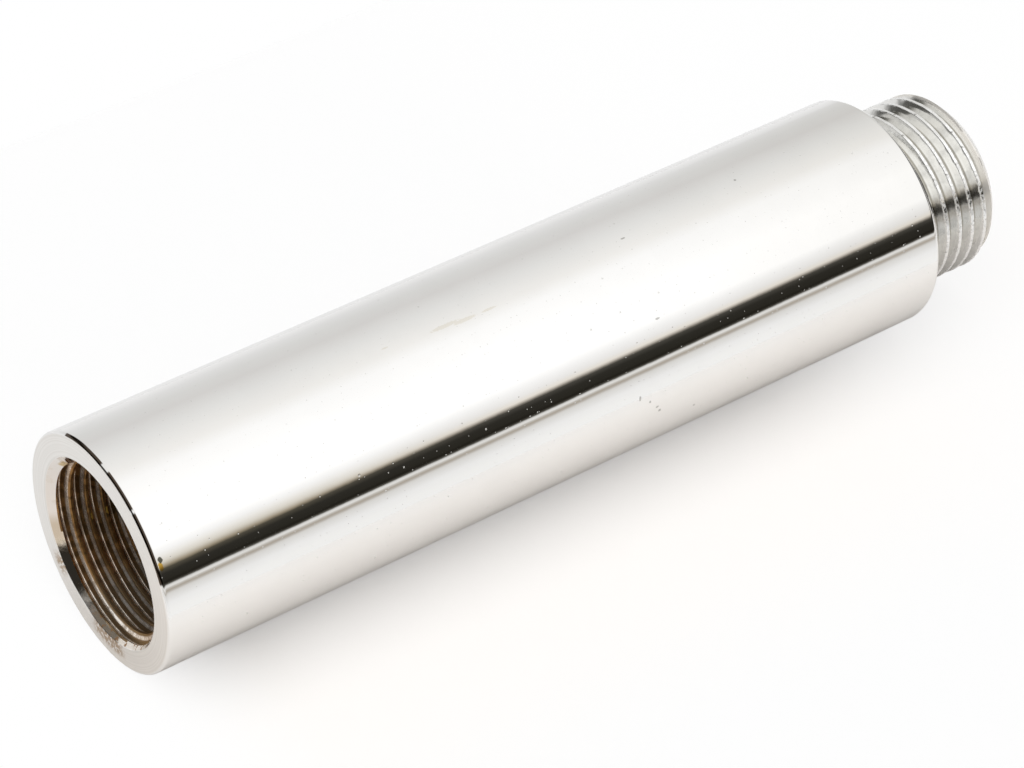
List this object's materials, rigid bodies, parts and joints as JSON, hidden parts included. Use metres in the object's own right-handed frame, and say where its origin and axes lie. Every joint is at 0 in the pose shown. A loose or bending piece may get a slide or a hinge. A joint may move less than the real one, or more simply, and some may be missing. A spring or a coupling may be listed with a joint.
{
  "type": "pipe extension fitting",
  "caption": "Chrome-plated brass pipe extension: a plain round body with a half-inch female thread at one end and a half-inch male thread at the other.",
  "frame": {"origin": "centre of the female end's flat face, on which the fitting stands", "axes": "+Z along the bore towards the male end; X and Y are free, since the fitting is turned"},
  "size_m": [0.0266, 0.0266, 0.1115],
  "materials": {
    "chrome_plate": "bright chrome plate on turned brass"
  },
  "bodies": {
    "root": {"pipe_extension": "chrome_plate"}
  },
  "joints": []
}
